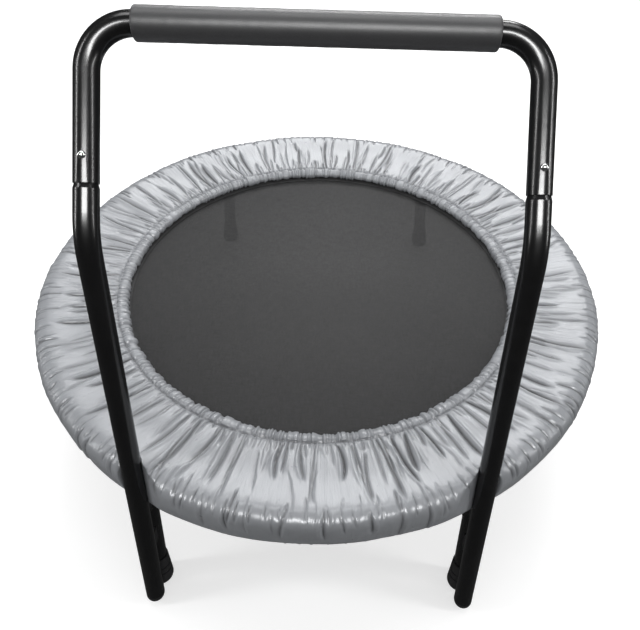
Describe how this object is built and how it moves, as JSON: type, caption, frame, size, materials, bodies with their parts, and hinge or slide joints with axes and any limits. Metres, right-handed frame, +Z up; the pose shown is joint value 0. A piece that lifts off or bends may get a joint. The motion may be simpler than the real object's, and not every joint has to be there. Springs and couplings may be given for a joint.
{
  "type": "mini trampoline",
  "caption": "Round mini trampoline on splayed legs, with a gathered fabric pad over its springs, a woven jumping mat and a bolted-on grab handle with a foam grip.",
  "frame": {"origin": "on the floor, below the centre of the trampoline's feet and ring", "axes": "+Z up, -Y towards the grab handle, +X to the right of a person who stands at the handle and looks over the mat"},
  "size_m": [0.967, 0.92, 0.7389],
  "materials": {
    "frame_paint": "glossy powder coat",
    "zinc_steel": "zinc plated",
    "spring_steel": "zinc plated wire",
    "button_metal": "nickel plated",
    "black_plastic": "moulded",
    "foot_rubber": "matt rubber",
    "grip_foam": "closed-cell foam",
    "pad_fabric": "satin coated woven fabric",
    "pad_filling": "closed-cell foam sheet",
    "elastic_cord": "braided elastic",
    "mat_mesh": "woven polypropylene mesh",
    "mat_binding": "polypropylene webbing"
  },
  "bodies": {
    "frame": {"frame_ring": "frame_paint", "leg_sockets": "frame_paint", "socket_nuts": "zinc_steel", "leg_inserts": "black_plastic", "leg_studs": "zinc_steel", "front_left_leg": "frame_paint", "front_right_leg": "frame_paint", "side_left_leg": "frame_paint", "side_right_leg": "frame_paint", "rear_left_leg": "frame_paint", "rear_right_leg": "frame_paint", "front_left_foot": "foot_rubber", "front_right_foot": "foot_rubber", "side_left_foot": "foot_rubber", "side_right_foot": "foot_rubber", "rear_left_foot": "foot_rubber", "rear_right_foot": "foot_rubber", "left_post": "frame_paint", "right_post": "frame_paint", "left_post_plug": "black_plastic", "right_post_plug": "black_plastic", "left_button_spring": "spring_steel", "right_button_spring": "spring_steel", "post_bolts": "zinc_steel", "saddle_washers": "zinc_steel", "post_spacers": "black_plastic", "rivet_nuts": "zinc_steel", "handlebar_tube": "frame_paint", "foam_grip": "grip_foam", "mat_springs": "spring_steel", "pad_cover": "pad_fabric", "pad_foam": "pad_filling", "pad_inner_elastic": "elastic_cord", "pad_outer_elastic": "elastic_cord"},
    "mat": {"jump_mat": "mat_mesh", "mat_hem": "mat_binding", "mat_loops": "mat_binding", "mat_rings": "spring_steel"},
    "left_button": {"left_snap_button": "button_metal"},
    "right_button": {"right_snap_button": "button_metal"}
  },
  "joints": [
    {"name": "mat_bounce", "type": "slide", "parent": "frame", "child": "mat", "axis": [0, 0, -1], "range_m": [0, 0.06], "stiffness_N_per_m": 14000, "deforming": ["mat_springs"]},
    {"name": "left_button_press", "type": "slide", "parent": "frame", "child": "left_button", "axis": [0, 0.7716, -0.6361], "range_m": [0, 0.005], "stiffness_N_per_m": 1000, "deforming": ["left_button_spring"]},
    {"name": "right_button_press", "type": "slide", "parent": "frame", "child": "right_button", "axis": [0, 0.7716, -0.6361], "range_m": [0, 0.005], "stiffness_N_per_m": 1000, "deforming": ["right_button_spring"]}
  ]
}
